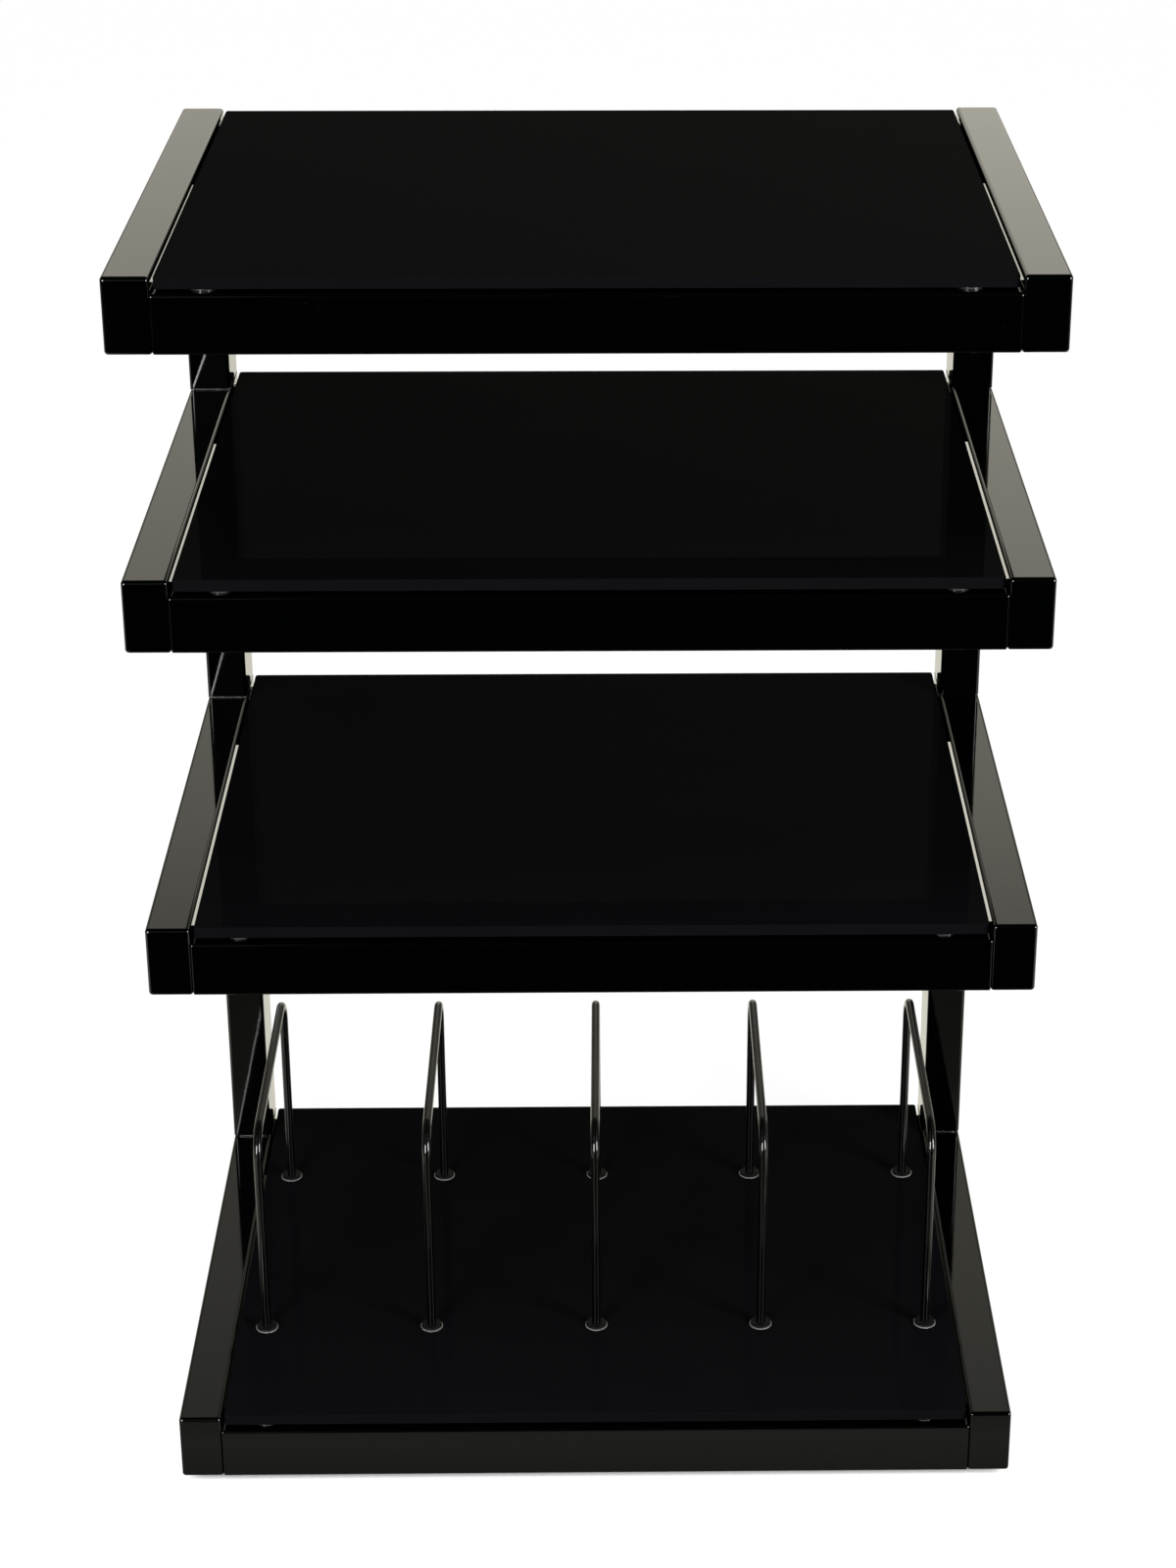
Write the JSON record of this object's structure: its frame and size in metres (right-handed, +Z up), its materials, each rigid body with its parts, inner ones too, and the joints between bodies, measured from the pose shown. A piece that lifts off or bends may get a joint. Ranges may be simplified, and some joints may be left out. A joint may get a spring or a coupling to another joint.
{
  "type": "record storage rack",
  "caption": "Open hi-fi and record rack: black tube frame cantilevered from rear posts, glass shelves, wire hoop dividers on the bottom shelf and levelling feet.",
  "frame": {"origin": "on the floor under the middle of the rack's width and depth", "axes": "+X to the right seen from the front, +Y to the rear, +Z up"},
  "size_m": [0.6, 0.445, 0.9],
  "materials": {
    "frame_black": "gloss",
    "shelf_glass": "gloss",
    "pad_silicone": "satin",
    "gasket_nylon": "satin",
    "divider_black": "gloss",
    "zinc_steel": "satin",
    "black_plastic": "matte"
  },
  "bodies": {
    "rack": {"base_crossbar_front": "frame_black", "base_crossbar_rear": "frame_black", "base_glass": "shelf_glass", "base_rail_left": "frame_black", "base_rail_right": "frame_black", "collar_gaskets": "gasket_nylon", "crossbar_end_plates": "zinc_steel", "crossbar_screws": "zinc_steel", "divider_collars": "black_plastic", "divider_nuts": "zinc_steel", "divider_washers": "zinc_steel", "foot_weld_nuts": "zinc_steel", "glass_pads": "pad_silicone", "lower_crossbar_front": "frame_black", "lower_crossbar_rear": "frame_black", "lower_glass": "shelf_glass", "lower_post_left": "frame_black", "lower_post_right": "frame_black", "lower_rail_left": "frame_black", "lower_rail_right": "frame_black", "middle_crossbar_front": "frame_black", "middle_crossbar_rear": "frame_black", "middle_glass": "shelf_glass", "middle_post_left": "frame_black", "middle_post_right": "frame_black", "middle_rail_left": "frame_black", "middle_rail_right": "frame_black", "post_bolts": "zinc_steel", "post_end_plates": "zinc_steel", "post_foot_shims": "zinc_steel", "post_studs": "zinc_steel", "post_washers": "zinc_steel", "rail_rear_plugs": "black_plastic", "record_divider_1": "divider_black", "record_divider_2": "divider_black", "record_divider_3": "divider_black", "record_divider_4": "divider_black", "record_divider_5": "divider_black", "screw_hole_caps": "black_plastic", "top_crossbar_front": "frame_black", "top_crossbar_rear": "frame_black", "top_glass": "shelf_glass", "top_rail_left": "frame_black", "top_rail_right": "frame_black", "upper_post_left": "frame_black", "upper_post_right": "frame_black"},
    "foot_front_left": {"foot_disc_front_left": "black_plastic", "foot_stud_front_left": "zinc_steel"},
    "foot_front_right": {"foot_disc_front_right": "black_plastic", "foot_stud_front_right": "zinc_steel"},
    "foot_rear_left": {"foot_disc_rear_left": "black_plastic", "foot_stud_rear_left": "zinc_steel"},
    "foot_rear_right": {"foot_disc_rear_right": "black_plastic", "foot_stud_rear_right": "zinc_steel"}
  },
  "joints": [
    {"name": "foot_front_left_height", "type": "slide", "parent": "rack", "child": "foot_front_left", "axis": [0, 0, 1], "range_m": [-0.01, 0]},
    {"name": "foot_front_right_height", "type": "slide", "parent": "rack", "child": "foot_front_right", "axis": [0, 0, 1], "range_m": [-0.01, 0]},
    {"name": "foot_rear_left_height", "type": "slide", "parent": "rack", "child": "foot_rear_left", "axis": [0, 0, 1], "range_m": [-0.01, 0]},
    {"name": "foot_rear_right_height", "type": "slide", "parent": "rack", "child": "foot_rear_right", "axis": [0, 0, 1], "range_m": [-0.01, 0]}
  ]
}
